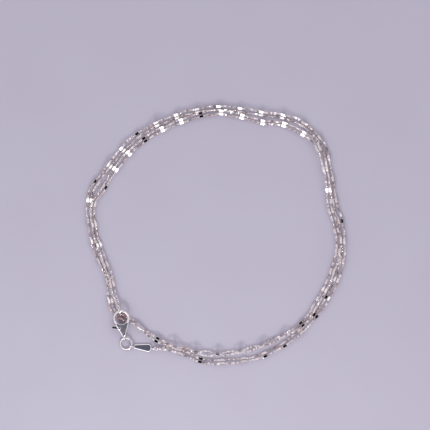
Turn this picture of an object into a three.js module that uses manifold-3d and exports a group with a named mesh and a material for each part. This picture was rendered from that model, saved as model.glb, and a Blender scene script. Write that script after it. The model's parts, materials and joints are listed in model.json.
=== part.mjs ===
// A fine silver link necklace, clasped and laid down in a ring of two turns.
// Millimetres, +Z up. It lies on the plane z = 0, and the middle of its box is over the origin.

import * as THREE from 'three';
import { mergeVertices } from 'three/addons/utils/BufferGeometryUtils.js';
import Module from 'manifold-3d';

const wasm = await Module();
wasm.setup();

// Chain: two rows of tiny links side by side, each row as one round strand.
const strandDiameter = 0.64;
const strandSpacing = 0.92;
const strandSides = 8;
const strandSteps = 88;
const strandClearance = 0.01;
const ringMiddle = { x: 0.18, y: 0.49 };

// Clasp, in its own frame: the hook's centre at the origin, +Y from the eye to the hook.
const claspPlace = { x: -26.36, y: -23.25, z: 1.55, turn: 8.5, pitch: 7.4 };
const hook = { radius: 2.0, halfWidth: 0.36, halfHeight: 0.46, from: -75, to: 167, sides: 8, steps: 28 };
const claspBody = { shoulder: 1.8, top: -1.3, neck: 0.5, bottom: -5.15, thickness: 1.6, bevel: 0.3 };
const eye = { radius: 0.62, wire: 0.18, y: -5.78 };
const leverPocket = { left: -3.2, right: -0.15, bottom: -3.6, top: -1.0, height: 1.04 };

// Lever: a gate that closes the hook, an arm to the rivet and a tab for the thumb. The gate's end and the
// hook's tip are arcs round the rivet, so the gate swings in past the tip.
const lever = { thickness: 0.6, gateFrom: 145, gateTo: 228, gateHalfWidth: 0.3, reach: 3.46 };
const hookTip = { reach: 3.6, depth: 0.8, from: 94, to: 125 };
const leverPivot = { x: -0.95, y: -2.75, boss: 0.55, hole: 0.33 };
const leverArm = { toX: -1.34, toY: -1.49, halfWidth: 0.28 };
const leverTab = { fromX: -1.25, fromY: -2.62, toX: -2.7, toY: -2.25, halfWidth: 0.22 };
const rivet = { radius: 0.25, hole: 0.29, sides: 20 };

// Rings and tag.
const endRing = { radius: 0.88, wire: 0.17, hookAngle: 97, planeAngle: 100, reach: 2.05 };
const jumpRing = { radius: 1.6, wire: 0.225, height: 0.54, tilt: 10.6, towardEye: 105, towardTag: -20 };
const tag = { narrow: 0.65, wide: 1.15, corner: 0.95, halfLength: 2.55, thickness: 0.5, bevel: 0.12, turn: -6 };
const tagLoop = { radius: 0.62, wire: 0.18, reach: 3.05 };

// The chain's route, from the tag to the hook. The angle runs anticlockwise round the ring, and
// the radius is to the middle between the two strands. The lean raises the outer strand over the
// inner one, and the lift is how far the lower strand is held off the surface by what is under it.
const routeRows = [
  // angle, radius, lean, lift
  [-117.6, 36.3, 60, 0],
  [-113, 35.1, 30, 0],
  [-105, 34.85, 4, 0],
  [-97, 35.9, 8, 0],
  [-84, 36.1, 12, 0],
  [-70, 36.6, 12, 0],
  [-55, 36.4, 12, 0],
  [-35, 36.0, 12, 0],
  [-14, 36.0, 12, 0],
  [3, 35.0, 12, 0],
  [16, 34.3, 8, 0],
  [27, 35.8, 4, 0],
  [40, 38.6, 4, 0],
  [51, 38.9, 10, 0],
  [60, 37.6, 14, 0],
  [72, 35.4, 16, 0],
  [89, 35.0, 12, 0],
  [108, 34.5, 12, 0],
  [128, 35.1, 15, 0],
  [148, 35.4, 15, 0],
  [162, 36.75, 12, 0],
  [175, 35.65, 10, 0],
  [188, 34.1, 8, 0],
  [203, 33.0, 6, 0],
  [212, 35.1, 2, 0],
  [218, 36.1, 0, 0],
  [225, 34.5, 0, 0],
  [229, 33.85, 4, 0],
  [235, 33.9, 50, 0],
  [241, 34.15, 40, 0],
  [252, 33.9, 12, 0.66],
  [264, 33.85, 30, 0.1],
  [285, 33.75, 28, 0],
  [302, 34.1, 25, 0],
  [313, 34.9, 26, 0.36],
  [325, 34.3, 26, 0.34],
  [342, 34.15, 26, 0.34],
  [355, 34.3, 26, 0.38],
  [366, 33.0, 25, 0.24],
  [374, 32.6, 24, 0.34],
  [382, 33.7, 12, 0.68],
  [390, 35.2, 5, 0.8],
  [398, 36.8, 6, 0.74],
  [404, 37.3, 10, 0.66],
  [409, 36.9, 22, 0.4],
  [418, 35.8, 20, 0],
  [428, 33.5, 20, 0],
  [438, 33.4, 25, 0.2],
  [449, 33.8, 24, 0.32],
  [467, 32.8, 24, 0.22],
  [488, 32.95, 20, 0],
  [508, 33.45, 20, 0],
  [520, 34.1, 24, 0.22],
  [527, 35.4, 28, 0.36],
  [538, 34.1, 28, 0.34],
  [549, 32.7, 26, 0.4],
  [562, 32.2, 14, 0.6],
  [571, 33.3, 20, 0.62],
  [577, 33.9, 25, 0.68],
];
const route = routeRows.map(([angle, radius, lean, lift]) => ({ angle, radius, lean, lift }));

const polishedSilver = { color: 0xdcd9da, roughness: 0.16, metalness: 1 };
const linkSilver = { color: 0xc9c1bf, roughness: 0.28, metalness: 1 };

function radians(degrees) {
  return THREE.MathUtils.degToRad(degrees);
}

function onCircle(radius, degrees, z = 0) {
  return new THREE.Vector3(radius * Math.cos(radians(degrees)), radius * Math.sin(radians(degrees)), z);
}

// Solids: three.js shapes are joined and cut as closed meshes.

function toSolid(geometry) {
  const bare = geometry.clone();
  bare.deleteAttribute('normal');
  bare.deleteAttribute('uv');
  const merged = mergeVertices(bare, 1e-4);
  const vertProperties = Float32Array.from(merged.attributes.position.array);
  const triVerts = Uint32Array.from(merged.index.array);
  return new wasm.Manifold(new wasm.Mesh({ numProp: 3, vertProperties, triVerts }));
}

function toGeometry(solid) {
  const { vertProperties, triVerts } = solid.getMesh();
  const geometry = new THREE.BufferGeometry();
  geometry.setAttribute('position', new THREE.BufferAttribute(vertProperties, 3));
  geometry.setIndex(new THREE.BufferAttribute(triVerts, 1));
  geometry.computeVertexNormals();
  return geometry;
}

function join(geometries) {
  return geometries.map(toSolid).reduce((whole, piece) => whole.add(piece));
}

// A plate of the given outline, with its middle at z = 0.
function plate(shape, thickness, bevel = 0, curveSegments = 8) {
  const geometry = new THREE.ExtrudeGeometry(shape, {
    depth: thickness - 2 * bevel,
    curveSegments,
    bevelEnabled: bevel > 0,
    bevelThickness: bevel,
    bevelSize: bevel,
    bevelOffset: -bevel,
    bevelSegments: 2,
  });
  return geometry.translate(0, 0, bevel - thickness / 2);
}

// An upright wire ring round the X axis.
function uprightRing(radius, wire, sides = 8, steps = 22) {
  return new THREE.TorusGeometry(radius, wire, sides, steps).rotateY(Math.PI / 2);
}

function cylinder(radius, height, sides) {
  return new THREE.CylinderGeometry(radius, radius, height, sides).rotateX(Math.PI / 2);
}

// A straight bar with round ends, seen from above.
function roundBar(fromX, fromY, toX, toY, halfWidth) {
  const heading = Math.atan2(toY - fromY, toX - fromX);
  const shape = new THREE.Shape();
  shape.absarc(fromX, fromY, halfWidth, heading + Math.PI / 2, heading + 1.5 * Math.PI, false);
  shape.absarc(toX, toY, halfWidth, heading - Math.PI / 2, heading + Math.PI / 2, false);
  return shape;
}

// Chain

function routeSlope(index, column) {
  const before = route[Math.max(index - 1, 0)];
  const after = route[Math.min(index + 1, route.length - 1)];
  return (after[column] - before[column]) / (after.angle - before.angle);
}

// Reads one column of the route at any angle, as a smooth curve through its rows.
function readRoute(column, angle) {
  let index = 0;
  while (index < route.length - 2 && angle > route[index + 1].angle) {
    index += 1;
  }
  const row = route[index];
  const next = route[index + 1];
  const span = next.angle - row.angle;
  const t = (angle - row.angle) / span;
  const rowWeight = (1 + 2 * t) * (1 - t) ** 2;
  const rowPull = t * (1 - t) ** 2 * span * routeSlope(index, column);
  const nextPull = t * t * (1 - t) * span * routeSlope(index + 1, column);
  return rowWeight * row[column] + (1 - rowWeight) * next[column] + rowPull - nextPull;
}

function chainMiddle(angle) {
  return onCircle(readRoute('radius', angle), angle).add(new THREE.Vector3(ringMiddle.x, ringMiddle.y, 0));
}

// One of the chain's two strands: side is 1 for the outer one and -1 for the inner one.
class StrandCurve extends THREE.Curve {
  constructor(side) {
    super();
    this.side = side;
    this.arcLengthDivisions = 1200;
  }

  getPoint(t, target = new THREE.Vector3()) {
    const glance = 0.05;
    const angle = THREE.MathUtils.lerp(route[0].angle, route[route.length - 1].angle, t);
    const heading = chainMiddle(angle + glance).sub(chainMiddle(angle - glance)).normalize();
    const lean = radians(Math.max(readRoute('lean', angle), 0));
    const lift = Math.max(readRoute('lift', angle), 0);
    const reach = strandSpacing / 2;
    const across = this.side * reach * Math.cos(lean);
    const rise = reach * Math.sin(lean);
    target.copy(chainMiddle(angle));
    target.x += across * heading.y;
    target.y -= across * heading.x;
    target.z = strandDiameter / 2 + strandClearance + lift + rise + this.side * rise;
    return target;
  }
}

function strandSection() {
  const corners = [];
  for (let corner = 0; corner < strandSides; corner += 1) {
    const angle = (360 * (corner + 0.5)) / strandSides;
    const point = onCircle(strandDiameter / 2, angle);
    corners.push(new THREE.Vector2(point.x, point.y));
  }
  return new THREE.Shape(corners);
}

function makeStrand(side) {
  return new THREE.ExtrudeGeometry(strandSection(), {
    steps: strandSteps,
    extrudePath: new StrandCurve(side),
    bevelEnabled: false,
  });
}

// Clasp

class HookCurve extends THREE.Curve {
  getPoint(t, target = new THREE.Vector3()) {
    return target.copy(onCircle(hook.radius, THREE.MathUtils.lerp(hook.from, hook.to, t)));
  }
}

function makeHook() {
  const section = new THREE.Shape();
  section.absellipse(0, 0, hook.halfHeight, hook.halfWidth, 0, 2 * Math.PI);
  return new THREE.ExtrudeGeometry(section, {
    steps: hook.steps,
    curveSegments: hook.sides,
    extrudePath: new HookCurve(),
    bevelEnabled: false,
  });
}

// The body is a shield that narrows to the eye, and its top edge is the hook's inner circle.
function bodyOutline() {
  const { shoulder, top, neck, bottom } = claspBody;
  const innerRadius = hook.radius - hook.halfWidth;
  const shape = new THREE.Shape();
  shape.moveTo(-shoulder, top);
  shape.bezierCurveTo(-1.7, -2.7, -0.8, -3.3, -neck, bottom);
  shape.lineTo(neck, bottom);
  shape.bezierCurveTo(0.8, -3.3, 1.7, -2.7, shoulder, top);
  shape.absarc(0, 0, innerRadius, radians(-38), radians(-142), true);
  return shape;
}

// What is cut off the end of the hook, so that its tip follows an arc round the rivet.
function hookTipCut() {
  const { x, y } = leverPivot;
  const from = radians(hookTip.from);
  const to = radians(hookTip.to);
  const shape = new THREE.Shape();
  shape.absarc(x, y, hookTip.reach, from, to, false);
  shape.absarc(x, y, hookTip.reach - hookTip.depth, to, from, true);
  return plate(shape, 3 * hook.halfHeight, 0, 16);
}

function makeClaspBody() {
  const eyeRing = uprightRing(eye.radius, eye.wire).translate(0, eye.y, 0);
  const shield = plate(bodyOutline(), claspBody.thickness, claspBody.bevel);
  const { left, right, bottom, top, height } = leverPocket;
  const pocket = new THREE.BoxGeometry(right - left, top - bottom, height);
  pocket.translate((left + right) / 2, (bottom + top) / 2, 0);
  const rivetHole = cylinder(rivet.hole, 2 * claspBody.thickness, rivet.sides);
  rivetHole.translate(leverPivot.x, leverPivot.y, 0);
  const whole = join([shield, makeHook(), eyeRing]);
  return toGeometry([hookTipCut(), pocket, rivetHole].map(toSolid).reduce((rest, cut) => rest.subtract(cut), whole));
}

function gateOutline() {
  const shape = new THREE.Shape();
  const from = radians(lever.gateFrom);
  const to = radians(lever.gateTo);
  shape.absarc(0, 0, hook.radius + lever.gateHalfWidth, from, to, false);
  shape.absarc(0, 0, hook.radius - lever.gateHalfWidth, to, from, true);
  return shape;
}

function makeClaspLever() {
  const { x, y, boss, hole } = leverPivot;
  const { toX, toY, halfWidth } = leverArm;
  const gate = plate(gateOutline(), lever.thickness);
  const arm = plate(roundBar(x, y, toX, toY, halfWidth), lever.thickness);
  const tab = plate(
    roundBar(leverTab.fromX, leverTab.fromY, leverTab.toX, leverTab.toY, leverTab.halfWidth),
    lever.thickness,
  );
  const knuckle = cylinder(boss, lever.thickness, rivet.sides).translate(x, y, 0);
  const bore = cylinder(hole, 2 * lever.thickness, rivet.sides).translate(x, y, 0);
  const swing = cylinder(lever.reach, 2 * lever.thickness, 96).translate(x, y, 0);
  return toGeometry(join([gate, arm, tab, knuckle]).subtract(toSolid(bore)).intersect(toSolid(swing)));
}

function makeRivet() {
  return cylinder(rivet.radius, claspBody.thickness, rivet.sides).translate(leverPivot.x, leverPivot.y, 0);
}

function makeEndRing() {
  const ring = uprightRing(endRing.radius, endRing.wire).rotateZ(radians(endRing.planeAngle - 90));
  const middle = onCircle(endRing.reach, endRing.hookAngle);
  return ring.translate(middle.x, middle.y, 0);
}

// Jump ring and tag, worked out from the clasp's eye.

function eyeMiddle() {
  const { x, y, turn, pitch } = claspPlace;
  const reach = eye.y * Math.cos(radians(pitch));
  return onCircle(reach, 90 + turn).add(new THREE.Vector3(x, y, 0));
}

function jumpRingMiddle() {
  return eyeMiddle().sub(onCircle(jumpRing.radius, jumpRing.towardEye, -jumpRing.height));
}

function tagMiddle() {
  const narrowLoop = jumpRingMiddle().add(onCircle(jumpRing.radius, jumpRing.towardTag));
  return narrowLoop.add(onCircle(tagLoop.reach, tag.turn)).setZ(0);
}

function makeJumpRing() {
  return new THREE.TorusGeometry(jumpRing.radius, jumpRing.wire, 10, 30);
}

function tagOutline() {
  const { narrow, wide, corner, halfLength } = tag;
  const edgeAngle = Math.asin((wide - narrow) / (2 * halfLength - narrow - corner));
  const shape = new THREE.Shape();
  const upright = Math.PI / 2;
  shape.absarc(narrow - halfLength, 0, narrow, upright + edgeAngle, 3 * upright - edgeAngle, false);
  shape.absarc(halfLength - corner, corner - wide, corner, -upright - edgeAngle, 0, false);
  shape.absarc(halfLength - corner, wide - corner, corner, 0, upright + edgeAngle, false);
  return shape;
}

function makeTag() {
  const face = plate(tagOutline(), tag.thickness, tag.bevel, 6).translate(0, 0, tag.thickness / 2);
  const loopHeight = tagLoop.radius + tagLoop.wire;
  const loops = [-1, 1].map((end) => {
    const loop = uprightRing(tagLoop.radius, tagLoop.wire).rotateZ(Math.PI / 2);
    return loop.translate(end * tagLoop.reach, 0, loopHeight);
  });
  return toGeometry(join([face, ...loops]));
}

// Assembly

function namedMesh(name, geometry, finish) {
  const mesh = new THREE.Mesh(geometry, new THREE.MeshStandardMaterial(finish));
  mesh.name = name;
  return mesh;
}

function makeClasp() {
  const clasp = new THREE.Group();
  clasp.add(namedMesh('clasp_body', makeClaspBody(), polishedSilver));
  clasp.add(namedMesh('clasp_lever', makeClaspLever(), polishedSilver));
  clasp.add(namedMesh('clasp_rivet', makeRivet(), polishedSilver));
  clasp.add(namedMesh('end_ring', makeEndRing(), polishedSilver));
  clasp.rotation.set(radians(claspPlace.pitch), 0, radians(claspPlace.turn), 'ZYX');
  clasp.position.set(claspPlace.x, claspPlace.y, claspPlace.z);
  return clasp;
}

// The jump ring rests on the surface at one side and is held up by the eye and the tag's loop.
function placeJumpRing() {
  const ring = namedMesh('jump_ring', makeJumpRing(), polishedSilver);
  const highSide = (jumpRing.towardEye + jumpRing.towardTag) / 2;
  const hinge = onCircle(1, highSide - 90);
  ring.quaternion.setFromAxisAngle(hinge, radians(jumpRing.tilt));
  ring.position.copy(jumpRingMiddle());
  return ring;
}

function placeTag() {
  const piece = namedMesh('end_tag', makeTag(), polishedSilver);
  piece.rotation.z = radians(tag.turn);
  piece.position.copy(tagMiddle());
  return piece;
}

const necklace = new THREE.Group();
necklace.add(namedMesh('chain_strand_outer', makeStrand(1), linkSilver));
necklace.add(namedMesh('chain_strand_inner', makeStrand(-1), linkSilver));
necklace.add(makeClasp());
necklace.add(placeJumpRing());
necklace.add(placeTag());

export default necklace;
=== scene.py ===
import json
import math
import random

import bmesh
import bpy
import numpy as np
from mathutils import Matrix, Vector


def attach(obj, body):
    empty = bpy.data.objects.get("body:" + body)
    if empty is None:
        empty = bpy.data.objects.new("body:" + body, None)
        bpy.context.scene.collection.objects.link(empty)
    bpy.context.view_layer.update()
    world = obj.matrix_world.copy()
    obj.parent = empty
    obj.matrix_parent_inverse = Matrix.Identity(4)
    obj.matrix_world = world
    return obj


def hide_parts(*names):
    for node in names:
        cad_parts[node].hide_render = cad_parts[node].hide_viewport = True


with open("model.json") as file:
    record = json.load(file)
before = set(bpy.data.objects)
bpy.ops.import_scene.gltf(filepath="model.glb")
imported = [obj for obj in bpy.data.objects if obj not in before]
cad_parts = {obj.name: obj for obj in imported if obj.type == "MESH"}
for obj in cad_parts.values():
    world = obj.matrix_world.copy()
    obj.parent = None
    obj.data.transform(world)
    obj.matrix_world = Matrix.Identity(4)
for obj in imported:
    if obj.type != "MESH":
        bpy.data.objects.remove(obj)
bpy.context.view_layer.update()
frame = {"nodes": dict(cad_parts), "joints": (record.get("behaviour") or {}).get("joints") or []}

# Silver link necklace, clasped and laid down in a ring of two turns.
# Everything is modelled in millimetres and turned to metres when a piece is made.

mm = 0.001
up = np.array([0.0, 0.0, 1.0])
scene = bpy.context.scene
tableBody = "necklace"
leverBody = "lever"


def hexColour(code):
    channels = [int(code[i:i + 2], 16) / 255 for i in (1, 3, 5)]
    linear = [c / 12.92 if c <= 0.04045 else ((c + 0.055) / 1.055) ** 2.4 for c in channels]
    return (*linear, 1)


# Each input gets a plain value, or a link where another node's output is given.
def setInputs(tree, node, inputs):
    for name, value in inputs.items():
        if isinstance(value, bpy.types.NodeSocket):
            tree.links.new(value, node.inputs[name])
        else:
            node.inputs[name].default_value = value


def addNode(tree, kind, settings=None, inputs=None, stops=None):
    node = tree.nodes.new(kind)
    for name, value in (settings or {}).items():
        setattr(node, name, value)
    setInputs(tree, node, inputs or {})
    if stops:
        elements = node.color_ramp.elements
        while len(elements) < len(stops):
            elements.new(0.5)
        for element, (position, colour) in zip(elements, stops):
            element.position = position
            element.color = colour
    return node


# The camera, straight above the ring.
cameraView = {"x": -0.24, "y": 5.53, "height": 400, "across": 120.4, "sensor": 36}


def placeCamera():
    data = bpy.data.cameras.new("overhead_camera")
    data.sensor_width = cameraView["sensor"]
    data.lens = cameraView["sensor"] * cameraView["height"] / cameraView["across"]
    data.clip_start = 0.01
    camera = bpy.data.objects.new("overhead_camera", data)
    camera.location = (cameraView["x"] * mm, cameraView["y"] * mm, cameraView["height"] * mm)
    scene.collection.objects.link(camera)
    scene.camera = camera


placeCamera()
print("camera: straight down,", cameraView["across"], "mm across the view")

# The light: a small lamp low on the near side, a soft window to its left, and a pale room that is
# dark straight overhead.
lamp = {"x": -15, "y": -230, "z": 140, "across": 32, "power": 0.24, "colour": "#fffdf6"}
window = {"x": -125, "y": -200, "z": 200, "across": 120, "power": 0.09, "colour": "#fdfdff"}
room = {
    "strength": 1.6,
    # colours from the horizon to straight up, where "middle" is only the very top
    "horizon": "#8f8a92",
    "walls": "#ccc8d0",
    "bright": "#f6f3f4",
    "slope": "#b8aeb3",
    "overhead": "#525461",
    "middle": "#040405",
}


def placeLight(name, look):
    data = bpy.data.lights.new(name, "AREA")
    data.shape = "DISK"
    data.size = look["across"] * mm
    data.energy = look["power"]
    data.color = hexColour(look["colour"])[:3]
    light = bpy.data.objects.new(name, data)
    light.location = Vector((look["x"], look["y"], look["z"])) * mm
    light.rotation_euler = (-light.location).to_track_quat("-Z", "Y").to_euler()
    scene.collection.objects.link(light)


def makeRoom():
    world = bpy.data.worlds.new("pale_room")
    world.use_nodes = True
    tree = world.node_tree
    tree.nodes.clear()
    place = addNode(tree, "ShaderNodeTexCoord")
    height = addNode(tree, "ShaderNodeSeparateXYZ", inputs={"Vector": place.outputs["Generated"]})
    sky = addNode(tree, "ShaderNodeValToRGB", inputs={"Fac": height.outputs["Z"]}, stops=[
        (0.0, hexColour(room["horizon"])),
        (0.25, hexColour(room["walls"])),
        (0.5, hexColour(room["bright"])),
        (0.74, hexColour(room["bright"])),
        (0.84, hexColour(room["slope"])),
        (0.9, hexColour(room["slope"])),
        (0.94, hexColour(room["overhead"])),
        (0.996, hexColour(room["overhead"])),
        (0.998, hexColour(room["middle"])),
    ])
    glow = addNode(tree, "ShaderNodeBackground", inputs={
        "Color": sky.outputs["Color"], "Strength": room["strength"]})
    addNode(tree, "ShaderNodeOutputWorld", inputs={"Surface": glow.outputs["Background"]})
    scene.world = world


placeLight("small_lamp", lamp)
placeLight("soft_window", window)
makeRoom()
scene.view_settings.view_transform = "Standard"
print("light: a lamp, a window and a pale room")

# A new material with its shader, and the piece's own coordinates.
def newMaterial(name):
    material = bpy.data.materials.new(name)
    material.use_nodes = True
    tree = material.node_tree
    tree.nodes.clear()
    shader = addNode(tree, "ShaderNodeBsdfPrincipled")
    addNode(tree, "ShaderNodeOutputMaterial", inputs={"Surface": shader.outputs["BSDF"]})
    place = addNode(tree, "ShaderNodeTexCoord")
    return material, tree, shader, place.outputs["Object"]


noiseLow, noiseHigh = 0.3, 0.7  # nearly all of a noise lies between these

# Sterling silver wire, drawn and linked by machine: bright on the crowns, with a thin warm
# film of tarnish between the links that pulls the rows towards a pinkish brown.
# The links under the hook are also made darker and browner: painted shade.
linkFinish = {
    "bright": "#fdf8f7", "warm": "#dac6c1", "dark": "#8a7470",
    "roughLow": 0.1, "roughHigh": 0.22, "patch": 0.25,
    "drawLines": 0.05, "drawDepth": 0.004,  # coarser than real draw lines, so that they show
    "patchShare": 0.9,  # how much of the film comes from its patches
    "cleanest": -1.1, "dirtiest": 0.5,  # what a link adds to that, by chance
    "paintedShadeUnderHook": 0.7, "endLink": -0.4,  # painted shade that the links under the hook add, and what end links do
}


def linkSilver():
    material, tree, shader, place = newMaterial("drawn_silver_link_wire")
    patches = addNode(tree, "ShaderNodeTexNoise", inputs={
        "Vector": place, "Scale": 1 / (linkFinish["patch"] * mm), "Detail": 3.0})
    tone = addNode(tree, "ShaderNodeAttribute", {"attribute_name": "linkTone"})
    filmAndPaintedShade = addNode(tree, "ShaderNodeMath", {"operation": "MULTIPLY_ADD", "use_clamp": True}, {
        0: patches.outputs["Fac"], 1: linkFinish["patchShare"], 2: tone.outputs["Fac"]})
    colour = addNode(tree, "ShaderNodeValToRGB", inputs={"Fac": filmAndPaintedShade.outputs["Value"]}, stops=[
        (0.0, hexColour(linkFinish["bright"])),
        (0.55, hexColour(linkFinish["warm"])),
        (1.0, hexColour(linkFinish["dark"])),
    ])
    rough = addNode(tree, "ShaderNodeMapRange", inputs={
        "Value": patches.outputs["Fac"], "From Min": noiseLow, "From Max": noiseHigh,
        "To Min": linkFinish["roughLow"], "To Max": linkFinish["roughHigh"]})
    lines = addNode(tree, "ShaderNodeTexNoise", inputs={
        "Vector": place, "Scale": 1 / (linkFinish["drawLines"] * mm)})
    bump = addNode(tree, "ShaderNodeBump", inputs={
        "Height": lines.outputs["Fac"], "Strength": 0.5,
        "Distance": linkFinish["drawDepth"] * mm})
    setInputs(tree, shader, {
        "Base Color": colour.outputs["Color"], "Roughness": rough.outputs["Result"],
        "Normal": bump.outputs["Normal"], "Metallic": 1})
    return material


# Silver with a polish: patches of haze that dull and roughen it a little, and fine lines.
# A finish may also have a warm colour mixed onto some of its pieces, which is painted shade and a
# painted warm reflection where it is strong, and a ripple under the lines.
def polishedSilver(look):
    material, tree, shader, place = newMaterial(look["name"])
    haze = addNode(tree, "ShaderNodeTexNoise", inputs={
        "Vector": place, "Scale": 1 / (look["haze"] * mm), "Detail": look["hazeDetail"]})
    clean = addNode(tree, "ShaderNodeMix", {"data_type": "RGBA"}, {
        "Factor": haze.outputs["Fac"], "A": hexColour(look["bright"]),
        "B": hexColour(look["dull"])})
    colour = clean.outputs["Result"]
    # the warm colour mixed in by plateTone is painted shade and reflection where the tone is strong
    if "filmAndPaintedShade" in look:
        tone = addNode(tree, "ShaderNodeAttribute", {"attribute_name": "plateTone"})
        filmAndPaintedShade = addNode(tree, "ShaderNodeMix", {"data_type": "RGBA"}, {
            "Factor": tone.outputs["Fac"], "A": colour, "B": hexColour(look["filmAndPaintedShade"])})
        colour = filmAndPaintedShade.outputs["Result"]
    rough = addNode(tree, "ShaderNodeMapRange", inputs={
        "Value": haze.outputs["Fac"], "From Min": noiseLow, "From Max": noiseHigh,
        "To Min": look["roughLow"], "To Max": look["roughHigh"]})
    drawnOut = addNode(tree, "ShaderNodeMapping", inputs={
        "Vector": place, "Scale": look["stretch"], "Rotation": (0, 0, look["turn"])})
    lines = addNode(tree, "ShaderNodeTexNoise", inputs={
        "Vector": drawnOut.outputs["Vector"], "Scale": 1 / (look["lines"] * mm)})
    bump = addNode(tree, "ShaderNodeBump", inputs={
        "Height": lines.outputs["Fac"], "Strength": look["bite"],
        "Distance": look["lineDepth"] * mm})
    if "ripple" in look:
        ripple = addNode(tree, "ShaderNodeTexNoise", inputs={
            "Vector": place, "Scale": 1 / (look["ripple"] * mm), "Detail": 1.0})
        soft = addNode(tree, "ShaderNodeBump", inputs={
            "Height": ripple.outputs["Fac"], "Strength": look["bite"],
            "Distance": look["rippleDepth"] * mm})
        setInputs(tree, bump, {"Normal": soft.outputs["Normal"]})
    setInputs(tree, shader, {
        "Base Color": colour, "Roughness": rough.outputs["Result"],
        "Normal": bump.outputs["Normal"], "Metallic": 1})
    return material


# Sterling silver plates, cut by a diamond tool to a mirror: flat facets with faint tool lines.
# The pair that lies inside the hook is painted a warm brown: painted shade and a painted warm
# reflection.
# Real tool lines are finer than these, as real scratches and buffing hairs are below: they are
# drawn coarse enough to show.
plateFinish = {
    "name": "diamond_cut_silver_mirror", "bright": "#f1eeee", "dull": "#ddd8d8",
    "roughLow": 0.02, "roughHigh": 0.05, "haze": 0.8, "hazeDetail": 2.0,
    "lines": 0.06, "lineDepth": 0.0004, "bite": 0.3, "stretch": (1.0, 0.12, 1.0), "turn": 0.6,
    "filmAndPaintedShade": "#a27e78", "cleanTone": 0.05, "paintedShadeTone": 0.85,
}

# Sterling silver, lost-wax cast and tumbled with steel shot: bright, with a very soft ripple
# and a few hairline scratches from wear.
castFinish = {
    "name": "tumbled_cast_silver", "bright": "#efecec", "dull": "#dcd8da",
    "roughLow": 0.07, "roughHigh": 0.17, "haze": 1.1, "hazeDetail": 4.0,
    "lines": 0.03, "lineDepth": 0.0008, "bite": 0.4, "stretch": (1.0, 0.06, 1.0), "turn": 1.1,
    "ripple": 0.5, "rippleDepth": 0.006,
}

# Sterling silver ring wire, drawn and bent: smoother than the casting, with a slight haze.
ringFinish = {
    "name": "drawn_silver_ring_wire", "bright": "#eeebea", "dull": "#d6d1d0",
    "roughLow": 0.06, "roughHigh": 0.2, "haze": 0.7, "hazeDetail": 3.0,
    "lines": 0.05, "lineDepth": 0.0012, "bite": 0.4, "stretch": (1.0, 1.0, 1.0), "turn": 0.0,
}

# Sterling silver sheet, stamped and buffed: a mirror face with fine buffing hairs.
tagFinish = {
    "name": "buffed_silver_sheet", "bright": "#ecebee", "dull": "#dad8dd",
    "roughLow": 0.05, "roughHigh": 0.12, "haze": 0.9, "hazeDetail": 3.0,
    "lines": 0.035, "lineDepth": 0.0007, "bite": 0.4, "stretch": (0.06, 1.0, 1.0), "turn": 0.15,
}


def smoothed(mesh, sharpAbove=None):
    mesh.polygons.foreach_set("use_smooth", [True] * len(mesh.polygons))
    if sharpAbove:
        mesh.set_sharp_from_angle(angle=math.radians(sharpAbove))
    return mesh


def makeMesh(name, points, faces):
    mesh = bpy.data.meshes.new(name)
    mesh.from_pydata([tuple(p) for p in points], [], [tuple(f) for f in faces])
    mesh.update()
    return mesh


# Takes a mesh in millimetres and puts the finished piece on its body.
def makePiece(name, mesh, place, body, material, stoodFor=()):
    mesh.transform(Matrix.Scale(mm, 4) @ place)
    piece = bpy.data.objects.new(name, mesh)
    piece.data.materials.append(material)
    scene.collection.objects.link(piece)
    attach(piece, body)
    if stoodFor:
        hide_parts(*stoodFor)


def cadPoints(node):
    points = np.zeros(len(frame["nodes"][node].data.vertices) * 3)
    frame["nodes"][node].data.vertices.foreach_get("co", points)
    return points.reshape(-1, 3) / mm


# The middle, axis, radius and wire radius of a ring that the CAD holds.
def ringOf(node):
    points = cadPoints(node)
    middle = (points.min(0) + points.max(0)) / 2
    axis = np.linalg.svd(points - points.mean(0), full_matrices=False)[2][2]
    axis = axis * (1 if axis[2] >= 0 else -1)
    offsets = points - middle
    along = offsets @ axis
    reach = np.linalg.norm(offsets - along[:, None] * axis, axis=1)
    return middle, axis, (reach.max() + reach.min()) / 2, (reach.max() - reach.min()) / 2


def unit(vector):
    return vector / np.linalg.norm(vector)


# A direction laid down into the plane that has this normal.
def laidInto(direction, normal):
    return unit(direction - (direction @ normal) * normal)


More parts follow.
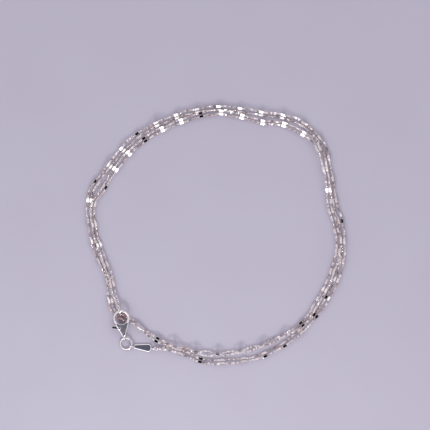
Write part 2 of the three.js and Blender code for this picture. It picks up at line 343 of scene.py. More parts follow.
# The chain's route, the same rows as the CAD's: angle, radius, lean and lift, in degrees and
# millimetres, from the tag to the hook.
routeRows = [
    (-117.6, 36.3, 60, 0), (-113, 35.1, 30, 0), (-105, 34.85, 4, 0), (-97, 35.9, 8, 0),
    (-84, 36.1, 12, 0), (-70, 36.6, 12, 0), (-55, 36.4, 12, 0), (-35, 36.0, 12, 0),
    (-14, 36.0, 12, 0), (3, 35.0, 12, 0), (16, 34.3, 8, 0), (27, 35.8, 4, 0),
    (40, 38.6, 4, 0), (51, 38.9, 10, 0), (60, 37.6, 14, 0), (72, 35.4, 16, 0),
    (89, 35.0, 12, 0), (108, 34.5, 12, 0), (128, 35.1, 15, 0), (148, 35.4, 15, 0),
    (162, 36.75, 12, 0), (175, 35.65, 10, 0), (188, 34.1, 8, 0), (203, 33.0, 6, 0),
    (212, 35.1, 2, 0), (218, 36.1, 0, 0), (225, 34.5, 0, 0), (229, 33.85, 4, 0),
    (235, 33.9, 50, 0), (241, 34.15, 40, 0), (252, 33.9, 12, 0.66), (264, 33.85, 30, 0.1),
    (285, 33.75, 28, 0), (302, 34.1, 25, 0), (313, 34.9, 26, 0.36), (325, 34.3, 26, 0.34),
    (342, 34.15, 26, 0.34), (355, 34.3, 26, 0.38), (366, 33.0, 25, 0.24), (374, 32.6, 24, 0.34),
    (382, 33.7, 12, 0.68), (390, 35.2, 5, 0.8), (398, 36.8, 6, 0.74), (404, 37.3, 10, 0.66),
    (409, 36.9, 22, 0.4), (418, 35.8, 20, 0), (428, 33.5, 20, 0), (438, 33.4, 25, 0.2),
    (449, 33.8, 24, 0.32), (467, 32.8, 24, 0.22), (488, 32.95, 20, 0), (508, 33.45, 20, 0),
    (520, 34.1, 24, 0.22), (527, 35.4, 28, 0.36), (538, 34.1, 28, 0.34), (549, 32.7, 26, 0.4),
    (562, 32.2, 14, 0.6), (571, 33.3, 20, 0.62), (577, 33.9, 25, 0.68),
]
route = np.array(routeRows, float)
chain = {
    "ringX": 0.18, "ringY": 0.49,
    "samples": 14001,  # points that the route is worked out at
    "rowSpacing": 0.92,  # from one row's middle to the other's
    "rowHeight": 0.29,  # from the surface to a row's middle
    "plates": 71, "linksBetween": 10,
    "plateReach": 0.8,  # from a plate's middle to where its links begin
    "twist": 2.0,  # how far along the chain a plate turns the rows with it
    "slack": (-0.14, 0.28),  # how far a row bows out between plates, least and most
    "wander": 0.11,  # and how far it strays to either side of that
    "partedSpacing": 1.25,  # where the rows lie further apart
    "flat": 0.2,  # how much of the chain's own lean is left between standing pairs
    "settle": 3,  # how far along the chain it takes to lose the rest
}
# plates counted from the tag, and how far along the chain they lie: the others share the gaps
plateMarks = [
    (1, 6.9), (2, 12.9), (5, 31.2), (9, 55.3), (13, 77.6), (19, 113.8), (21, 125.9), (24, 143.9),
    (26, 156.0), (29, 173.6), (30, 179.0), (36, 214.0), (38, 225.8), (39, 231.2), (41, 243.3),
    (43, 255.9), (45, 268.7), (52, 309.2), (55, 327.2), (59, 351.2), (62, 368.4), (66, 391.7),
    (71, 420.8),
]


# A smooth curve through one column of the route's rows.
def readRoute(column, angle):
    rowAngle = route[:, 0]
    value = route[:, column]
    rows = np.arange(len(route))
    before = np.maximum(rows - 1, 0)
    after = np.minimum(rows + 1, len(route) - 1)
    slope = (value[after] - value[before]) / (rowAngle[after] - rowAngle[before])
    i = np.clip(np.searchsorted(rowAngle, angle, side="right") - 1, 0, len(route) - 2)
    span = rowAngle[i + 1] - rowAngle[i]
    t = (angle - rowAngle[i]) / span
    rowWeight = (1 + 2 * t) * (1 - t) ** 2
    pull = t * (1 - t) ** 2 * slope[i] - t * t * (1 - t) * slope[i + 1]
    return rowWeight * value[i] + (1 - rowWeight) * value[i + 1] + span * pull


angles = np.linspace(route[0, 0], route[-1, 0], chain["samples"])
radius = readRoute(1, angles)
middleLine = np.stack([
    radius * np.cos(np.radians(angles)) + chain["ringX"],
    radius * np.sin(np.radians(angles)) + chain["ringY"],
    np.zeros_like(angles)], axis=1)
heading = np.gradient(middleLine, axis=0)
heading /= np.linalg.norm(heading, axis=1)[:, None]
outward = np.cross(heading, up)
travelled = np.concatenate([[0], np.cumsum(np.linalg.norm(np.diff(middleLine, axis=0), axis=1))])
lean = np.maximum(readRoute(2, angles), 0)
lift = np.maximum(readRoute(3, angles), 0)
print("chain: %.1f mm along the middle of its two rows" % travelled[-1])

# Mirror-cut plates: one on each row, side by side, every few links.
plate = {"length": 1.16, "width": 0.71, "thickness": 0.5, "bevel": 0.055, "floorGap": 0.015,
         "eyeAt": 0.675, "eyeRadius": 0.175, "eyeWire": 0.055, "leanPlain": 19.5, "wobble": 3.5,
         "seed": 11}
# How some pairs lie, counted from the tag, with the outer row as side 1 and the inner as -1.
# The rest lean a little towards the ring's middle.
facingWindow = {1: {19, 20, 21, 22, 24, 27, 30, 52, 55, 56, 57, 58, 59, 61, 62, 64, 65},
                -1: {30, 52, 55, 56, 57, 58, 59, 61, 62, 64, 65}}  # these flash white
lyingLevel = {1: {2, 5, 6, 8, 13, 26, 29, 38, 45, 60, 63},
              -1: {2, 8, 9, 38, 45, 60, 63, 66}}  # these show the dark above them
standing = {37: 60, 39: 80, 40: 82, 41: 83, 42: 80, 43: 80, 44: 76}  # on edge: degrees
flatBetween = (39, 44)  # the rows lie flat from one of these to the other
raised = {38: 0.6, 25: 0.5, 28: 0.4}  # held up: millimetres
parted = {36, 39, 40, 41, 42, 43, 44}  # the rows lie further apart here
shadedInHook = {36}  # inside the hook, painted a warm brown: painted shade and a painted warm reflection

cameraPoint = np.array([cameraView["x"], cameraView["y"], cameraView["height"]], float)
windowPoint = np.array([window["x"], window["y"], window["z"]], float)


# The normals of one pair's two plates, by side.
def plateNormals(k, at, along, out, dice):
    roll = math.radians(plate["leanPlain"] + dice.uniform(-1, 1) * plate["wobble"])
    nod = math.radians(dice.uniform(-1, 1) * plate["wobble"])
    if k in standing:
        roll = math.radians(standing[k])
    toCamera = unit(cameraPoint - at)
    normals = {}
    for side in (-1, 1):
        normals[side] = unit(-math.sin(roll) * out + math.cos(roll) * up + math.sin(nod) * along)
        if k in facingWindow[side]:
            normals[side] = unit(toCamera + unit(windowPoint - at))
        if k in lyingLevel[side]:
            normals[side] = unit(toCamera + up)
    return normals


def layPlates():
    dice = random.Random(plate["seed"])
    plates = []
    for k in range(1, chain["plates"] + 1):
        s = np.interp(k, *zip(*plateMarks))
        i = int(np.searchsorted(travelled, s))
        normals = plateNormals(k, middleLine[i], heading[i], outward[i], dice)
        along = laidInto(heading[i], normals[-1])
        across = np.cross(along, normals[-1])
        plates.append({"k": k, "index": i, "s": s, "normals": normals, "along": along,
                       "lean": math.degrees(math.asin(across[2]))})
    return plates


# How far each step of the chain follows a pair: 1 at the pair and 0 well away from it.
def nearness(p, power=4):
    return np.exp(-((travelled - p["s"]) / chain["twist"]) ** power)


# Each pair turns the two rows with it, and is held up where its corner would sink. Between
# standing pairs the rows fall flat.
def turnRows(plates):
    first, last = [p["s"] for p in plates if p["k"] in flatBetween]
    flat = np.interp(travelled, [first - chain["settle"], first, last, last + chain["settle"]],
                     [1, chain["flat"], chain["flat"], 1])
    restLean = lean * flat
    newLean, newLift = restLean.copy(), lift.copy()
    for p in plates:
        newLean += (p["lean"] - restLean[p["index"]]) * nearness(p)
        newLift += raised.get(p["k"], 0) * nearness(p)
    for p in plates:
        drop = max(
            abs(n[2]) * plate["thickness"] / 2 + abs(p["along"][2]) * plate["length"] / 2
            + abs(np.cross(p["along"], n)[2]) * plate["width"] / 2 for n in p["normals"].values())
        need = max(0, plate["floorGap"] + drop - chain["rowHeight"] - newLift[p["index"]])
        newLift += need * nearness(p, 2)
    return newLean, newLift


plates = layPlates()
turnedLean, turnedLift = turnRows(plates)


# A row's middle line. It bows and strays a little between plates, as a slack row does.
def rowLine(side):
    dice = random.Random(plate["seed"] + side)
    reach = np.full(len(travelled), chain["rowSpacing"] / 2)
    for p in plates:
        if p["k"] in parted:
            reach += (chain["partedSpacing"] - chain["rowSpacing"]) / 2 * nearness(p)
    place = np.interp(travelled, [p["s"] for p in plates], np.arange(len(plates)))
    slack = np.array([dice.uniform(*chain["slack"]) for _ in plates])[place.astype(int)]
    wander = np.array([dice.uniform(-1, 1) * chain["wander"] for _ in plates])[place.astype(int)]
    bow = slack * np.sin(math.pi * (place % 1)) + wander * np.sin(2 * math.pi * (place % 1))
    leanAngle = np.radians(turnedLean)
    line = middleLine + (side * (reach * np.cos(leanAngle) + bow))[:, None] * outward
    rise = reach * np.sin(leanAngle)
    line[:, 2] = chain["rowHeight"] + turnedLift + np.abs(rise) + side * rise
    return line


rows = {1: rowLine(1), -1: rowLine(-1)}


# Copies a small shape to many places: each frame holds the three axes that its x, y and z take.
def stamped(shape, faces, middles, frames):
    points = middles[:, None, :] + shape[None, :, :] @ frames
    offsets = (np.arange(len(middles)) * len(shape))[:, None, None]
    return points.reshape(-1, 3), (np.array(faces)[None] + offsets).reshape(-1, len(faces[0]))


# A closed tube along a closed path in the x-y plane.
def closedTube(path, profile):
    count, sides = len(path), len(profile)
    tangent = np.roll(path, -1, axis=0) - np.roll(path, 1, axis=0)
    tangent /= np.linalg.norm(tangent, axis=1)[:, None]
    side = np.stack([tangent[:, 1], -tangent[:, 0]], axis=1)
    points = []
    for i in range(count):
        for u, v in profile:
            points.append((*(path[i] + u * side[i]), v))
    faces = []
    for i in range(count):
        here, ahead = i * sides, (i + 1) % count * sides
        for j in range(sides):
            k = (j + 1) % sides
            faces.append((here + j, ahead + j, ahead + k, here + k))
    return np.array(points), faces


def roundProfile(wire, sides):
    return [(wire * math.cos(2 * math.pi * j / sides), wire * math.sin(2 * math.pi * j / sides))
            for j in range(sides)]


def torus(radius, wire, sides=24, steps=72):
    turn = np.linspace(0, 2 * math.pi, steps + 1)[:-1]
    ring = np.stack([np.cos(turn), np.sin(turn)], axis=1) * radius
    return closedTube(ring, roundProfile(wire, sides))


def bevelledBlock(length, width, thickness, bevel):
    shape = bmesh.new()
    bmesh.ops.create_cube(shape, size=1, matrix=Matrix.Diagonal((length, width, thickness, 1)))
    bmesh.ops.bevel(shape, geom=shape.edges, offset=bevel, segments=2, profile=0.6, affect="EDGES")
    bmesh.ops.triangulate(shape, faces=shape.faces)
    shape.verts.index_update()
    points = np.array([v.co for v in shape.verts])
    faces = sorted([v.index for v in f.verts] for f in shape.faces)
    shape.free()
    return points, faces


# Puts several shapes into one list of points and faces.
def joined(pieces):
    points, faces, offset = [], [], 0
    for piecePoints, pieceFaces in pieces:
        points.append(piecePoints)
        faces += [[i + offset for i in f] for f in pieceFaces]
        offset += len(piecePoints)
    return np.concatenate(points), faces


# Every plate is a bevelled block with a small eye at each end, for its links.
def makePlates():
    block = bevelledBlock(plate["length"], plate["width"], plate["thickness"], plate["bevel"])
    eyePoints, eyeFaces = torus(plate["eyeRadius"], plate["eyeWire"], 8, 16)
    middles, frames, tones = [], [], []
    for p in plates:
        for side, normal in p["normals"].items():
            along = laidInto(p["along"], normal)
            middles.append(rows[side][p["index"]])
            frames.append([along, np.cross(normal, along), normal])
            # the pair inside the hook takes the painted shade tone
            tones.append(plateFinish["paintedShadeTone" if p["k"] in shadedInHook else "cleanTone"])
    middles, frames = np.array(middles), np.array(frames)
    shapes = [stamped(*block, middles, frames)]
    for end in (-1, 1):
        moved = eyePoints + [end * plate["eyeAt"], 0, 0]
        shapes.append(stamped(moved, eyeFaces, middles, frames))
    points, faces = joined(shapes)
    mesh = makeMesh("mirror_plates", points, faces)
    counts = (len(block[0]), len(eyePoints), len(eyePoints))
    tones = np.concatenate([np.repeat(tones, n) for n in counts])
    mesh.attributes.new("plateTone", "FLOAT", "POINT").data.foreach_set("value", tones)
    flat = len(middles) * len(block[1])
    mesh.polygons.foreach_set("use_smooth", [False] * flat + [True] * (len(mesh.polygons) - flat))
    return mesh


# The clasp, in its own frame: the hook's middle at the origin and +y from the eye to the hook.
clasp = {"pivotX": -0.95, "pivotY": -2.75, "shoulder": 1.8, "top": -1.3, "cheek": (1.7, -2.7),
         "waist": (0.8, -3.3), "neck": 0.5, "bottom": -5.15, "thickness": 1.6, "round": 0.2,
         "hollow": (-38, -142),  # degrees: where the body's top follows the hook's inside
         "voxel": 0.035, "smoothing": 12}
hook = {"radius": 2.0, "halfWidth": 0.36, "halfHeight": 0.46, "start": -80, "tipReach": 3.6,
        "sides": 28, "steps": 110}


# The joint's place and axis settle where the clasp is and how it tips.
def claspPlace():
    joint = frame["joints"][0]
    z = -Vector(joint["axis"]).normalized()
    x = Vector((-z.y, z.x, 0)).normalized()
    x = x if x.x > 0 else -x
    y = z.cross(x)
    turn = Matrix((x, y, z)).transposed().to_4x4()
    pivot = Vector((clasp["pivotX"], clasp["pivotY"], 0))
    return Matrix.Translation(Vector(joint["pos_m"]) / mm - turn @ pivot) @ turn


claspFrame = claspPlace()

# Links: small ovals of wire, each about a quarter turn from the next. A wire is given by its
# radius everywhere.
link = {
    "length": 0.76, "width": 0.54, "wire": 0.08, "steps": 14, "pitch": 0.44, "seed": 5,
    "tip": 44, "jitter": 15,  # degrees from flat, to one side and the other by turns
    "endLength": 1.25, "endWidth": 0.8, "endWire": 0.085, "endReach": 0.45,
    "ease": 6,  # how soon a row is back on its own line after a fixed point
    "sharp": 38,  # degrees: the cut edges stay crisp
}


def ovalPath(length, width, wire, steps):
    radius = width / 2 - wire
    straight = length / 2 - wire - radius
    path = []
    half = steps // 2
    for end in (1, -1):
        for j in range(half):
            turn = math.pi * (j / (half - 1) - 0.5)
            path.append((end * (straight + radius * math.cos(turn)), end * radius * math.sin(turn)))
    return np.array(path)


# A wire with two flats on its outer side, cut there by a diamond tool once the chain is made.
def cutProfile(wire):
    corners = [330, 28, 62, 118, 150, 180, 215, 255, 295]
    return [(wire * math.cos(math.radians(a)), wire * math.sin(math.radians(a))) for a in corners]


linkShape = closedTube(ovalPath(link["length"], link["width"], link["wire"], link["steps"]),
                       cutProfile(link["wire"]))
endLinkShape = closedTube(ovalPath(link["endLength"], link["endWidth"], link["endWire"], 24),
                          roundProfile(link["endWire"], 10))


# The part of a row between two steps of it, eased onto the exact ends.
def rowBetween(side, startIndex, endIndex, start, end):
    line = rows[side][startIndex:endIndex + 1].copy()
    t = np.linspace(0, 1, len(line))
    ease = np.exp(-t * link["ease"])
    line += (start - line[0]) * ease[:, None] + (end - line[-1]) * ease[::-1][:, None]
    return line


# The middles and axes of links in equal steps along a line.
def linksAlong(line, count, dice):
    s = np.concatenate([[0], np.cumsum(np.linalg.norm(np.diff(line, axis=0), axis=1))])
    places = (np.arange(count) + 0.5) / count * s[-1]
    middles = np.stack([np.interp(places, s, line[:, a]) for a in range(3)], axis=1)
    reach = s[-1] / count / 2
    ahead = np.stack([np.interp(places + reach, s, line[:, a]) for a in range(3)], axis=1)
    behind = np.stack([np.interp(places - reach, s, line[:, a]) for a in range(3)], axis=1)
    frames = []
    for j in range(count):
        along = unit(ahead[j] - behind[j])
        flat = unit(np.cross(up, along))
        steep = np.cross(along, flat)
        roll = math.radians(link["tip"] * (-1) ** j + dice.uniform(-1, 1) * link["jitter"])
        across = math.cos(roll) * flat + math.sin(roll) * steep
        frames.append([along, across, np.cross(along, across)])
    return middles, np.array(frames)


# Where an end link's middle sits when it hangs on the wire of a ring.
def anchorOn(middle, ringRadius, ringWire, away, angle, rise=up):
    a = math.radians(angle)
    wireMiddle = middle + ringRadius * (math.cos(a) * away + math.sin(a) * rise)
    inside = link["endLength"] / 2 - 2 * link["endWire"] - ringWire
    return wireMiddle + inside * away


# The tag's middle, and its direction from the clasp to the chain.
def tagFrame():
    points = cadPoints("end_tag")
    middle = (points.min(0) + points.max(0)) / 2
    along = np.linalg.svd(points - points.mean(0), full_matrices=False)[2][0]
    along = unit(np.array([along[0], along[1], 0]))
    return middle, along * (1 if along[0] > 0 else -1)


# The two ends of the chain: the tag's wide loop and the end ring.
tagLoop = {"radius": 0.62, "wire": 0.18, "reach": 3.05}
tagMiddle, tagAlong = tagFrame()
tagSpan = (cadPoints("end_tag") @ tagAlong).max()
wideLoop = tagMiddle + (
    tagSpan - tagMiddle @ tagAlong - tagLoop["radius"] - tagLoop["wire"]) * tagAlong
wideLoop[2] = tagLoop["radius"] + tagLoop["wire"]
endMiddle, endAxis, endRadius, endWire = ringOf("end_ring")
endAway = unit(np.cross(endAxis, up))
endAway = endAway * (1 if endAway @ (rows[1][-1] - endMiddle) > 0 else -1)
endRise = np.cross(endAxis, endAway)
endRise = endRise * (1 if endRise[2] > 0 else -1)
startAngles = {1: 24, -1: -38}  # degrees round the loop's wire at which each row hangs
endAngles = {1: -6, -1: -40}  # and round the end ring's


# The links run from the tag's loop to the first plate, from plate to plate, and from the last
# plate to the end ring in the hook.
def makeLinks(side, name):
    dice = random.Random(link["seed"] + side)
    start = anchorOn(wideLoop, tagLoop["radius"], tagLoop["wire"], tagAlong, startAngles[side])
    finish = anchorOn(endMiddle, endRadius, endWire, endAway, endAngles[side], endRise)
    gap = int(np.searchsorted(travelled, chain["plateReach"]))
    leaving, arriving = [(0, start + link["endReach"] * tagAlong)], []
    for p in plates:
        at = rows[side][p["index"]]
        reach = chain["plateReach"] * laidInto(p["along"], p["normals"][side])
        arriving.append((p["index"] - gap, at - reach))
        leaving.append((p["index"] + gap, at + reach))
    arriving.append((len(travelled) - 1, finish + link["endReach"] * endAway))
    middles, frames = [], []
    for n, ((i, at), (nextI, nextAt)) in enumerate(zip(leaving, arriving)):
        stretch = rowBetween(side, i, nextI, at, nextAt)
        count = chain["linksBetween"]
        if n in (0, len(plates)):
            length = np.linalg.norm(np.diff(stretch, axis=0), axis=1).sum()
            count = round(length / link["pitch"])
        stretchMiddles, stretchFrames = linksAlong(stretch, count, dice)
        middles.append(stretchMiddles)
        frames.append(stretchFrames)
    middles, frames = np.concatenate(middles), np.concatenate(frames)
    points, faces = stamped(*linkShape, middles, frames)
    endFrames = [[tagAlong, np.cross(up, tagAlong), up],
                 [endAway, np.cross(endRise, endAway), endRise]]
    endPoints, endFaces = stamped(*endLinkShape, np.array([start, finish]), np.array(endFrames))
    mesh = makeMesh(name, *joined([(points, faces.tolist()), (endPoints, endFaces.tolist())]))
    tones = np.array([dice.uniform(linkFinish["cleanest"], linkFinish["dirtiest"])
                      for _ in middles])
    fromHook = np.linalg.norm(middles[:, :2] - np.array(claspFrame.translation)[:2], axis=1)
    # links under the hook are painted darker and browner, as painted shade
    tones += linkFinish["paintedShadeUnderHook"] * (fromHook < hook["radius"])
    tones = np.repeat(tones, len(linkShape[0]))
    tones = np.concatenate([tones, np.full(len(endPoints), linkFinish["endLink"])])
    mesh.attributes.new("linkTone", "FLOAT", "POINT").data.foreach_set("value", tones)
    print(name + ":", len(middles) + 2, "links")
    return smoothed(mesh, link["sharp"])


silverWire = linkSilver()
makePiece("chain_links_outer", makeLinks(1, "chain_links_outer"), Matrix(), tableBody,
          silverWire, ["chain_strand_outer"])
makePiece("chain_links_inner", makeLinks(-1, "chain_links_inner"), Matrix(), tableBody,
          silverWire, ["chain_strand_inner"])
makePiece("mirror_plates", makePlates(), Matrix(), tableBody,
          polishedSilver(plateFinish))
print("plates:", chain["plates"], "pairs")

claspEye = {"radius": 0.62, "wire": 0.18, "y": -5.78}
# the slot in the body that the lever lies in
pocket = {"left": -3.2, "right": -0.15, "bottom": -3.6, "top": -0.9, "height": 1.04}


# The angle round the hook's middle at which a circle round the rivet cuts the given radius.
def tipAngle(radius, reach):
    distance = math.hypot(clasp["pivotX"], clasp["pivotY"])
    pivotAngle = math.degrees(math.atan2(clasp["pivotY"], clasp["pivotX"])) + 360
    cosine = (radius ** 2 + distance ** 2 - reach ** 2) / (2 * radius * distance)
    return pivotAngle - math.degrees(math.acos(cosine))


# A curved bar whose end follows a circle round the rivet.
def curvedBar(start, halfWidth, halfHeight, tipReach, sides, steps, flip=False):
    points, faces = [], []
    for i in range(steps + 1):
        t = i / steps
        for j in range(sides):
            a = 2 * math.pi * j / sides
            reach = hook["radius"] + halfWidth * math.cos(a)
            end = tipAngle(reach, tipReach)
            turn = math.radians(start + (end - start) * t)
            points.append((reach * math.cos(turn), reach * math.sin(turn),
                           halfHeight * math.sin(a)))
    for i in range(steps):
        for j in range(sides):
            k = (j + 1) % sides
            faces.append((i * sides + j, (i + 1) * sides + j, (i + 1) * sides + k, i * sides + k))
    faces.append(tuple(reversed(range(sides))))
    faces.append(tuple(steps * sides + j for j in range(sides)))
    return points, faces if flip else [f[::-1] for f in faces]


def bezier(a, b, c, d, count):
    points = []
    for i in range(count):
        t = i / count
        w = ((1 - t) ** 3, 3 * t * (1 - t) ** 2, 3 * t * t * (1 - t), t ** 3)
        points.append(tuple(w[0] * a[n] + w[1] * b[n] + w[2] * c[n] + w[3] * d[n] for n in (0, 1)))
    return points


def arc(x, y, radius, start, end, count):
    turns = [math.radians(start + (end - start) * i / count) for i in range(count)]
    return [(x + radius * math.cos(a), y + radius * math.sin(a)) for a in turns]


uprightLeft = 0.01  # half of the upright band that even the roundest rim leaves


# A plate of any outline, with rounded rims: rings step in and up round each rim.
def roundedPlate(outline, thickness, rim, steps=8):
    outline = np.array(outline)
    ahead = np.roll(outline, -1, axis=0)
    area = np.sum(outline[:, 0] * ahead[:, 1] - ahead[:, 0] * outline[:, 1])
    if area < 0:
        outline = outline[::-1]
    tangent = np.roll(outline, -1, axis=0) - np.roll(outline, 1, axis=0)
    tangent /= np.linalg.norm(tangent, axis=1)[:, None]
    inward = np.stack([-tangent[:, 1], tangent[:, 0]], axis=1)
    drop = min(rim, thickness / 2 - uprightLeft)
    rings = []
    for sign in (-1, 1):
        for i in range(steps + 1):
            turn = math.pi / 2 * (i / steps if sign > 0 else 1 - i / steps)
            inset = rim * (1 - math.cos(turn))
            height = sign * (thickness / 2 - drop + drop * math.sin(turn))
            rings.append(np.column_stack([outline + inward * inset, np.full(len(outline), height)]))
    count = len(outline)
    faces = []
    for r in range(len(rings) - 1):
        for j in range(count):
            k = (j + 1) % count
            faces.append((r * count + j, r * count + k, (r + 1) * count + k, (r + 1) * count + j))
    faces.append(tuple(reversed(range(count))))
    faces.append(tuple((len(rings) - 1) * count + j for j in range(count)))
    return np.concatenate(rings), faces


# The clasp's body: it tapers from the hook to the neck at its eye.
def shieldOutline():
    s, t, n, b = clasp["shoulder"], clasp["top"], clasp["neck"], clasp["bottom"]
    (cheekX, cheekY), (waistX, waistY) = clasp["cheek"], clasp["waist"]
    inner = hook["radius"] - hook["halfWidth"]
    left = bezier((-s, t), (-cheekX, cheekY), (-waistX, waistY), (-n, b), 40)
    across = [(x, b) for x in np.linspace(-n, n, 11)[1:-1]]
    right = bezier((n, b), (waistX, waistY), (cheekX, cheekY), (s, t), 40)
    return left + across + right + arc(0, 0, inner, *clasp["hollow"], 40)


# A shape moved and turned by a matrix.
def placed(shape, place):
    points, faces = shape
    turn = np.array(place)
    return np.array(points) @ turn[:3, :3].T + turn[:3, 3], faces


# Several closed shapes become one skin, as a casting has, with soft inside corners.
def castTogether(name, shapes, cuts, voxel, smoothing):
    points, faces = joined([(np.array(p), f) for p, f in shapes])
    whole = bpy.data.objects.new(name, makeMesh(name, points, faces))
    scene.collection.objects.link(whole)
    remesh = whole.modifiers.new("skin", "REMESH")
    remesh.mode = "VOXEL"
    remesh.voxel_size = voxel
    cutters = []
    for cutShape in cuts:
        cutter = bpy.data.objects.new("cutter", makeMesh("cutter", *cutShape))
        scene.collection.objects.link(cutter)
        cut = whole.modifiers.new("cut", "BOOLEAN")
        cut.operation = "DIFFERENCE"
        cut.object = cutter
        cut.solver = "EXACT"
        cutters.append(cutter)
    if cuts:
        again = whole.modifiers.new("skin_again", "REMESH")
        again.mode = "VOXEL"
        again.voxel_size = voxel
    soften = whole.modifiers.new("soften", "SMOOTH")
    soften.factor = 0.5
    soften.iterations = smoothing
    bpy.context.view_layer.update()
    depsgraph = bpy.context.evaluated_depsgraph_get()
    mesh = bpy.data.meshes.new_from_object(whole.evaluated_get(depsgraph))
    for extra in [whole, *cutters]:
        bpy.data.objects.remove(extra)
    return smoothed(mesh)


def box(left, right, bottom, top, low, high):
    points = [(x, y, z) for x in (left, right) for y in (bottom, top) for z in (low, high)]
    faces = [(0, 1, 3, 2), (4, 6, 7, 5), (0, 4, 5, 1), (2, 3, 7, 6), (0, 2, 6, 4), (1, 5, 7, 3)]
    return points, faces


def makeClaspBody():
    shield = roundedPlate(shieldOutline(), clasp["thickness"], clasp["round"])
    bar = curvedBar(hook["start"], hook["halfWidth"], hook["halfHeight"], hook["tipReach"],
                    hook["sides"], hook["steps"])
    upright = Matrix.Translation((0, claspEye["y"], 0)) @ Matrix.Rotation(math.pi / 2, 4, "Y")
    eye = placed(torus(claspEye["radius"], claspEye["wire"]), upright)
    slot = box(pocket["left"], pocket["right"], pocket["bottom"], pocket["top"],
               -pocket["height"] / 2, pocket["height"] / 2)
    return castTogether("cast_clasp_hook", [shield, bar, eye], [slot],
                        clasp["voxel"], clasp["smoothing"])


lever = {"gateEnd": 232, "gateHalfWidth": 0.31, "gateHalfHeight": 0.4, "tipReach": 3.46,
         "boss": 0.55, "bossRim": 0.08, "thickness": 0.6, "voxel": 0.03, "smoothing": 8}
leverArm = {"x": -1.34, "y": -1.49, "halfWidth": 0.28, "rim": 0.12}
leverTab = {"startX": -1.25, "startY": -2.62, "x": -2.74, "y": -2.25, "halfWidth": 0.36,
            "thickness": 0.5, "rim": 0.06, "tip": 9.6, "roll": 2.0}


# The outline of a straight bar with round ends.
def roundBar(startX, startY, endX, endY, halfWidth):
    turn = math.degrees(math.atan2(endY - startY, endX - startX))
    return (arc(startX, startY, halfWidth, turn + 90, turn + 270, 24)
            + arc(endX, endY, halfWidth, turn - 90, turn + 90, 24))


def makeLever():
    gate = curvedBar(lever["gateEnd"], lever["gateHalfWidth"], lever["gateHalfHeight"],
                     lever["tipReach"], 24, 60, flip=True)
    arm = roundedPlate(roundBar(clasp["pivotX"], clasp["pivotY"], leverArm["x"], leverArm["y"],
                                leverArm["halfWidth"]), lever["thickness"], leverArm["rim"])
    level = (Matrix.Translation((leverTab["startX"], leverTab["y"], 0))
             @ Matrix.Rotation(-math.radians(leverTab["tip"]), 4, "X")
             @ Matrix.Rotation(math.radians(leverTab["roll"]), 4, "Y")
             @ Matrix.Translation((-leverTab["startX"], -leverTab["y"], 0)))
    thumb = roundBar(leverTab["startX"], leverTab["startY"], leverTab["x"], leverTab["y"],
                     leverTab["halfWidth"])
    tab = placed(roundedPlate(thumb, leverTab["thickness"], leverTab["rim"]), level)
    boss = roundedPlate(arc(clasp["pivotX"], clasp["pivotY"], lever["boss"], 0, 360, 40),
                        lever["thickness"], lever["bossRim"])
    return castTogether("clasp_thumb_lever", [gate, arm, tab, boss], [], lever["voxel"],
                        lever["smoothing"])


rivet = {"shaft": 0.24, "head": 0.36, "headHeight": 0.07, "halfLength": 0.8, "underHead": 0.05,
         "sharp": 50}


# A turned pin with a low dome peened over at each end.
def makeRivet():
    profile = [(0.0, -rivet["halfLength"] - rivet["headHeight"])]
    domeSteps, steps = 8, 40
    for i in range(1, domeSteps + 1):
        a = math.pi / 2 * i / domeSteps
        profile.append((rivet["head"] * math.sin(a),
                        -rivet["halfLength"] - rivet["headHeight"] * math.cos(a)))
    profile.append((rivet["shaft"], -rivet["halfLength"] + rivet["underHead"]))
    profile += [(r, -z) for r, z in reversed(profile)]
    points = [(0, 0, profile[0][1]), (0, 0, profile[-1][1])]
    rings = profile[1:-1]
    for r, z in rings:
        points += [(r * math.cos(2 * math.pi * j / steps), r * math.sin(2 * math.pi * j / steps), z)
                   for j in range(steps)]
    faces = []
    for j in range(steps):
        k = (j + 1) % steps
        faces.append((0, 2 + k, 2 + j))
        for i in range(len(rings) - 1):
            low, high = 2 + i * steps, 2 + (i + 1) * steps
            faces.append((low + j, low + k, high + k, high + j))
        last = 2 + (len(rings) - 1) * steps
        faces.append((1, last + j, last + k))
    points = [(x + clasp["pivotX"], y + clasp["pivotY"], z) for x, y, z in points]
    return smoothed(makeMesh("domed_rivet", points, faces), rivet["sharp"])


castMetal = polishedSilver(castFinish)
makePiece("cast_clasp_hook", makeClaspBody(), claspFrame, tableBody, castMetal,
          ["clasp_body"])
makePiece("clasp_thumb_lever", makeLever(), claspFrame, leverBody, castMetal,
          ["clasp_lever"])
makePiece("domed_rivet", makeRivet(), claspFrame, tableBody, castMetal,
          ["clasp_rivet"])
print("clasp: hook, lever and rivet")

# The jump ring's cut, closed but not soldered, and the end ring's soldered joint. Gap, place and
# width are in degrees.
jumpCut = {"gap": 1.6, "at": 200, "sharp": 50}
seam = {"at": 30, "swell": 0.035, "width": 7}


def ringPlace(middle, axis):
    z = Vector(axis).normalized()
    x = Vector((1, 0, 0)).cross(z).normalized()
    y = z.cross(x)
    return Matrix.Translation(Vector(middle)) @ Matrix((x, y, z)).transposed().to_4x4()


# An open ring of wire whose two flat ends nearly meet.
def cutRing(radius, wire, gap, at, sides=24, steps=120):
    points, faces = [], []
    for i in range(steps + 1):
        turn = math.radians(at + gap / 2 + (360 - gap) * i / steps)
        for j in range(sides):
            a = 2 * math.pi * j / sides
            reach = radius + wire * math.cos(a)
            points.append((reach * math.cos(turn), reach * math.sin(turn), wire * math.sin(a)))
    for i in range(steps):
        for j in range(sides):
            k = (j + 1) % sides
            faces.append(((i + 1) * sides + j, (i + 1) * sides + k, i * sides + k, i * sides + j))
    faces.append(tuple(range(sides)))
    faces.append(tuple(steps * sides + j for j in reversed(range(sides))))
    return points, faces


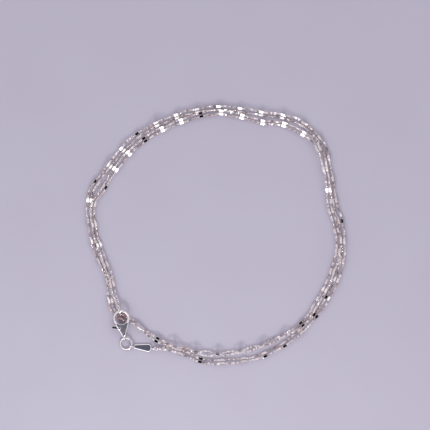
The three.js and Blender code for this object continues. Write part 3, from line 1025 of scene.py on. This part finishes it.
# A closed ring with a small swelling of solder at its joint.
def solderedRing(radius, wire, at, swell, width):
    points, faces = torus(radius, wire, 24, 120)
    points = np.array(points)
    turn = np.degrees(np.arctan2(points[:, 1], points[:, 0]))
    away = (turn - at + 180) % 360 - 180
    grow = 1 + swell / wire * np.exp(-(away / width) ** 2)
    flat = points[:, :2] / np.linalg.norm(points[:, :2], axis=1)[:, None] * radius
    points[:, :2] = flat + (points[:, :2] - flat) * grow[:, None]
    points[:, 2] *= grow
    return points, faces


ringMetal = polishedSilver(ringFinish)
jumpMiddle, jumpAxis, jumpRadius, jumpWire = ringOf("jump_ring")
jumpShape = cutRing(jumpRadius, jumpWire, jumpCut["gap"], jumpCut["at"])
makePiece("open_jump_ring", smoothed(makeMesh("open_jump_ring", *jumpShape), jumpCut["sharp"]),
          ringPlace(jumpMiddle, jumpAxis), tableBody, ringMetal, ["jump_ring"])
endShape = solderedRing(endRadius, endWire, seam["at"], seam["swell"], seam["width"])
makePiece("soldered_end_ring", smoothed(makeMesh("soldered_end_ring", *endShape)),
          ringPlace(endMiddle, endAxis), tableBody, ringMetal, ["end_ring"])

tag = {"narrow": 0.65, "wide": 1.15, "corner": 0.95, "halfLength": 2.55, "thickness": 0.5,
       "rim": 0.38, "voxel": 0.03, "smoothing": 6}


# A drop: round at its narrow end, and wide with round corners at the other.
def tagOutline():
    n, w, c, h = tag["narrow"], tag["wide"], tag["corner"], tag["halfLength"]
    edge = math.degrees(math.asin((w - n) / (2 * h - n - c)))
    return (arc(n - h, 0, n, 90 + edge, 270 - edge, 32) + arc(h - c, c - w, c, -90 - edge, 0, 20)
            + arc(h - c, w - c, c, 0, 90 + edge, 20))


def makeTag():
    face = placed(roundedPlate(tagOutline(), tag["thickness"], tag["rim"]),
                  Matrix.Translation((0, 0, tag["thickness"] / 2)))
    loops = []
    height = tagLoop["radius"] + tagLoop["wire"]
    for end in (-1, 1):
        upright = (Matrix.Translation((end * tagLoop["reach"], 0, height))
                   @ Matrix.Rotation(math.pi / 2, 4, "X"))
        loops.append(placed(torus(tagLoop["radius"], tagLoop["wire"]), upright))
    return castTogether("mirror_end_tag", [face, *loops], [], tag["voxel"], tag["smoothing"])


tagPlace = (Matrix.Translation((tagMiddle[0], tagMiddle[1], 0))
            @ Matrix.Rotation(math.atan2(tagAlong[1], tagAlong[0]), 4, "Z"))
makePiece("mirror_end_tag", makeTag(), tagPlace, tableBody,
          polishedSilver(tagFinish), ["end_tag"])
print("rings and tag")

floorLook = {"colour": "#aba9b9", "patchColour": "#a6a3b3", "patch": 22, "size": 3000,
             "grain": 0.35, "grainDepth": 0.01, "rough": 0.75, "shine": 0.3}


# Smooth pale card: nearly even, with broad faint clouds and a very fine tooth, drawn coarser
# than real paper fibres so that it shows.
def paleCard():
    material, tree, shader, place = newMaterial("pale_lavender_card")
    clouds = addNode(tree, "ShaderNodeTexNoise", inputs={
        "Vector": place, "Scale": 1 / (floorLook["patch"] * mm), "Detail": 3.0})
    colour = addNode(tree, "ShaderNodeMix", {"data_type": "RGBA"}, {
        "Factor": clouds.outputs["Fac"], "A": hexColour(floorLook["colour"]),
        "B": hexColour(floorLook["patchColour"])})
    tooth = addNode(tree, "ShaderNodeTexNoise", inputs={
        "Vector": place, "Scale": 1 / (floorLook["grain"] * mm)})
    bump = addNode(tree, "ShaderNodeBump", inputs={
        "Height": tooth.outputs["Fac"], "Strength": 0.15,
        "Distance": floorLook["grainDepth"] * mm})
    setInputs(tree, shader, {
        "Base Color": colour.outputs["Result"], "Normal": bump.outputs["Normal"],
        "Roughness": floorLook["rough"], "Specular IOR Level": floorLook["shine"]})
    return material


def makeFloor():
    half = floorLook["size"] / 2 * mm
    corners = [(-half, -half, 0), (half, -half, 0), (half, half, 0), (-half, half, 0)]
    mesh = makeMesh("pale_floor", corners, [(0, 1, 2, 3)])
    floor = bpy.data.objects.new("pale_floor", mesh)
    floor.data.materials.append(paleCard())
    scene.collection.objects.link(floor)


makeFloor()
print("surface: pale card")
